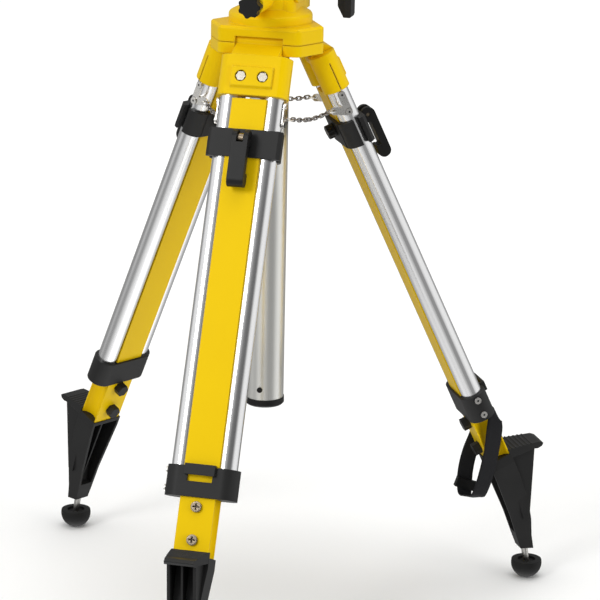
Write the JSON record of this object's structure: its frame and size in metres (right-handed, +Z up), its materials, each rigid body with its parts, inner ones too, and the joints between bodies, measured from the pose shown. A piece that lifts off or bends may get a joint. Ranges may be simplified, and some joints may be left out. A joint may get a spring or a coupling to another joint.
{
  "type": "elevating tripod",
  "caption": "Surveying tripod with a crank-raised centre column, hinged double-tube legs, sliding lower legs with lever clamps, pedals and rubber feet.",
  "frame": {"origin": "the point on the floor plumb under the column's axis", "axes": "+Z up along the column; -Y towards the front leg; the crank is on +X"},
  "size_m": [0.6292, 0.55, 0.9009],
  "materials": {
    "yellow_paint": "satin powder coat",
    "black_plastic": "fine grain",
    "bare_aluminium": "satin anodised",
    "zinc_steel": "bright zinc",
    "pale_nylon": "natural nylon",
    "black_rubber": "matt",
    "black_webbing": "woven"
  },
  "bodies": {
    "head": {"spider": "yellow_paint", "column_housing": "yellow_paint", "head_fasteners": "zinc_steel", "gearbox_cover": "yellow_paint", "hinge_pins": "zinc_steel", "guide_bushes": "pale_nylon", "brake_shoe": "pale_nylon"},
    "column": {"column_tube": "bare_aluminium", "column_rack": "zinc_steel", "column_end_cap": "black_plastic", "head_plate": "yellow_paint"},
    "fixing_screw": {"fixing_screw": "zinc_steel"},
    "brake_knob": {"brake_knob": "black_plastic"},
    "crank": {"pinion_shaft": "zinc_steel", "crank_arm": "black_plastic"},
    "crank_grip": {"crank_grip": "black_plastic"},
    "leg_1": {"leg_1_head": "yellow_paint", "leg_1_tubes": "bare_aluminium", "leg_1_collar": "black_plastic", "leg_1_hardware": "zinc_steel"},
    "leg_1_lower": {"leg_1_profile": "yellow_paint", "leg_1_clamp_plate": "black_plastic", "leg_1_clamp_shell": "black_plastic", "leg_1_shoe": "black_plastic", "leg_1_foot_hardware": "zinc_steel", "leg_1_rubber_foot": "black_rubber"},
    "leg_1_lever": {"leg_1_clamp_lever": "black_plastic"},
    "leg_1_knob": {"leg_1_clamp_knob": "black_plastic"},
    "leg_1_chain_left": {"leg_1_chain_left": "zinc_steel"},
    "leg_1_chain_right": {"leg_1_chain_right": "zinc_steel"},
    "leg_2": {"leg_2_head": "yellow_paint", "leg_2_tubes": "bare_aluminium", "leg_2_collar": "black_plastic", "leg_2_hardware": "zinc_steel", "carry_strap": "black_webbing", "strap_buckle": "black_plastic"},
    "leg_2_lower": {"leg_2_profile": "yellow_paint", "leg_2_clamp_plate": "black_plastic", "leg_2_clamp_shell": "black_plastic", "leg_2_shoe": "black_plastic", "leg_2_foot_hardware": "zinc_steel", "leg_2_rubber_foot": "black_rubber"},
    "leg_2_lever": {"leg_2_clamp_lever": "black_plastic"},
    "leg_2_knob": {"leg_2_clamp_knob": "black_plastic"},
    "leg_2_chain_left": {"leg_2_chain_left": "zinc_steel"},
    "leg_2_chain_right": {"leg_2_chain_right": "zinc_steel"},
    "leg_3": {"leg_3_head": "yellow_paint", "leg_3_tubes": "bare_aluminium", "leg_3_collar": "black_plastic", "leg_3_hardware": "zinc_steel"},
    "leg_3_lower": {"leg_3_profile": "yellow_paint", "leg_3_clamp_plate": "black_plastic", "leg_3_clamp_shell": "black_plastic", "leg_3_shoe": "black_plastic", "leg_3_foot_hardware": "zinc_steel", "leg_3_rubber_foot": "black_rubber"},
    "leg_3_lever": {"leg_3_clamp_lever": "black_plastic"},
    "leg_3_knob": {"leg_3_clamp_knob": "black_plastic"},
    "leg_3_chain_left": {"leg_3_chain_left": "zinc_steel"},
    "leg_3_chain_right": {"leg_3_chain_right": "zinc_steel"}
  },
  "joints": [
    {"name": "column_lift", "type": "slide", "parent": "head", "child": "column", "axis": [0, 0, 1], "range_m": [0, 0.3]},
    {"name": "crank_turn", "type": "hinge", "parent": "head", "child": "crank", "pos_m": [0.0458, 0.03542, 0.79985], "axis": [1, 0, 0], "range_deg": [-1640, 0]},
    {"name": "crank_grip_fold", "type": "hinge", "parent": "crank", "child": "crank_grip", "pos_m": [0.0798, 0.03542, 0.75785], "axis": [0, -1, 0], "range_deg": [0, 90]},
    {"name": "brake_turn", "type": "hinge", "parent": "head", "child": "brake_knob", "pos_m": [0, -0.06, 0.74085], "axis": [0, -1, 0], "continuous": true},
    {"name": "fixing_screw_turn", "type": "hinge", "parent": "column", "child": "fixing_screw", "pos_m": [0, 0, 0.87685], "axis": [0, 0, 1], "continuous": true},
    {"name": "leg_1_swing", "type": "hinge", "parent": "head", "child": "leg_1", "pos_m": [0, -0.038, 0.69285], "axis": [1, 0, 0], "range_deg": [0, 20]},
    {"name": "leg_1_slide", "type": "slide", "parent": "leg_1", "child": "leg_1_lower", "axis": [0, -0.4258, -0.9048], "range_m": [0, 0.3]},
    {"name": "leg_1_lever_open", "type": "hinge", "parent": "leg_1_lower", "child": "leg_1_lever", "pos_m": [0, -0.11675, 0.59784], "axis": [-1, 0, 0], "range_deg": [0, 110]},
    {"name": "leg_1_knob_turn", "type": "hinge", "parent": "leg_1_lower", "child": "leg_1_knob", "pos_m": [0, -0.07486, 0.57813], "axis": [0, -0.9048, 0.4258], "continuous": true},
    {"name": "leg_1_chain_left_hang", "type": "hinge", "parent": "leg_1", "child": "leg_1_chain_left", "pos_m": [-0.0428, -0.0591, 0.6103], "axis": [-0.866, -0.5, 0], "range_deg": [0, 112.5]},
    {"name": "leg_1_chain_right_hang", "type": "hinge", "parent": "leg_1", "child": "leg_1_chain_right", "pos_m": [0.0428, -0.0591, 0.6103], "axis": [-0.866, 0.5, 0], "range_deg": [0, 112.5]},
    {"name": "leg_2_swing", "type": "hinge", "parent": "head", "child": "leg_2", "pos_m": [0.03291, 0.019, 0.69285], "axis": [-0.5, 0.866, 0], "range_deg": [0, 20]},
    {"name": "leg_2_slide", "type": "slide", "parent": "leg_2", "child": "leg_2_lower", "axis": [0.3687, 0.2129, -0.9048], "range_m": [0, 0.3]},
    {"name": "leg_2_lever_open", "type": "hinge", "parent": "leg_2_lower", "child": "leg_2_lever", "pos_m": [0.10111, 0.05838, 0.59784], "axis": [0.5, -0.866, 0], "range_deg": [0, 110]},
    {"name": "leg_2_knob_turn", "type": "hinge", "parent": "leg_2_lower", "child": "leg_2_knob", "pos_m": [0.06483, 0.03743, 0.57813], "axis": [0.7836, 0.4524, 0.4258], "continuous": true},
    {"name": "leg_2_chain_left_hang", "type": "hinge", "parent": "leg_2", "child": "leg_2_chain_left", "pos_m": [0.07259, -0.00751, 0.6103], "axis": [0.866, -0.5, 0], "range_deg": [0, 112.5]},
    {"name": "leg_2_chain_right_hang", "type": "hinge", "parent": "leg_2", "child": "leg_2_chain_right", "pos_m": [0.02979, 0.06662, 0.6103], "axis": [0, -1, 0], "range_deg": [0, 112.5]},
    {"name": "leg_3_swing", "type": "hinge", "parent": "head", "child": "leg_3", "pos_m": [-0.03291, 0.019, 0.69285], "axis": [-0.5, -0.866, 0], "range_deg": [0, 20]},
    {"name": "leg_3_slide", "type": "slide", "parent": "leg_3", "child": "leg_3_lower", "axis": [-0.3687, 0.2129, -0.9048], "range_m": [0, 0.3]},
    {"name": "leg_3_lever_open", "type": "hinge", "parent": "leg_3_lower", "child": "leg_3_lever", "pos_m": [-0.10111, 0.05838, 0.59784], "axis": [0.5, 0.866, 0], "range_deg": [0, 110]},
    {"name": "leg_3_knob_turn", "type": "hinge", "parent": "leg_3_lower", "child": "leg_3_knob", "pos_m": [-0.06483, 0.03743, 0.57813], "axis": [-0.7836, 0.4524, 0.4258], "continuous": true},
    {"name": "leg_3_chain_left_hang", "type": "hinge", "parent": "leg_3", "child": "leg_3_chain_left", "pos_m": [-0.02979, 0.06662, 0.6103], "axis": [0, 1, 0], "range_deg": [0, 112.5]},
    {"name": "leg_3_chain_right_hang", "type": "hinge", "parent": "leg_3", "child": "leg_3_chain_right", "pos_m": [-0.07259, -0.00751, 0.6103], "axis": [0.866, 0.5, 0], "range_deg": [0, 112.5]}
  ],
  "couplings": [
    {"joint": "crank_turn", "follows": "column_lift", "rad_per_m": -95.238},
    {"joint": "leg_1_chain_left_hang", "follows": "leg_1_swing", "ratio": 5.6},
    {"joint": "leg_1_chain_right_hang", "follows": "leg_1_swing", "ratio": 5.6},
    {"joint": "leg_2_chain_left_hang", "follows": "leg_2_swing", "ratio": 5.6},
    {"joint": "leg_2_chain_right_hang", "follows": "leg_2_swing", "ratio": 5.6},
    {"joint": "leg_3_chain_left_hang", "follows": "leg_3_swing", "ratio": 5.6},
    {"joint": "leg_3_chain_right_hang", "follows": "leg_3_swing", "ratio": 5.6}
  ]
}
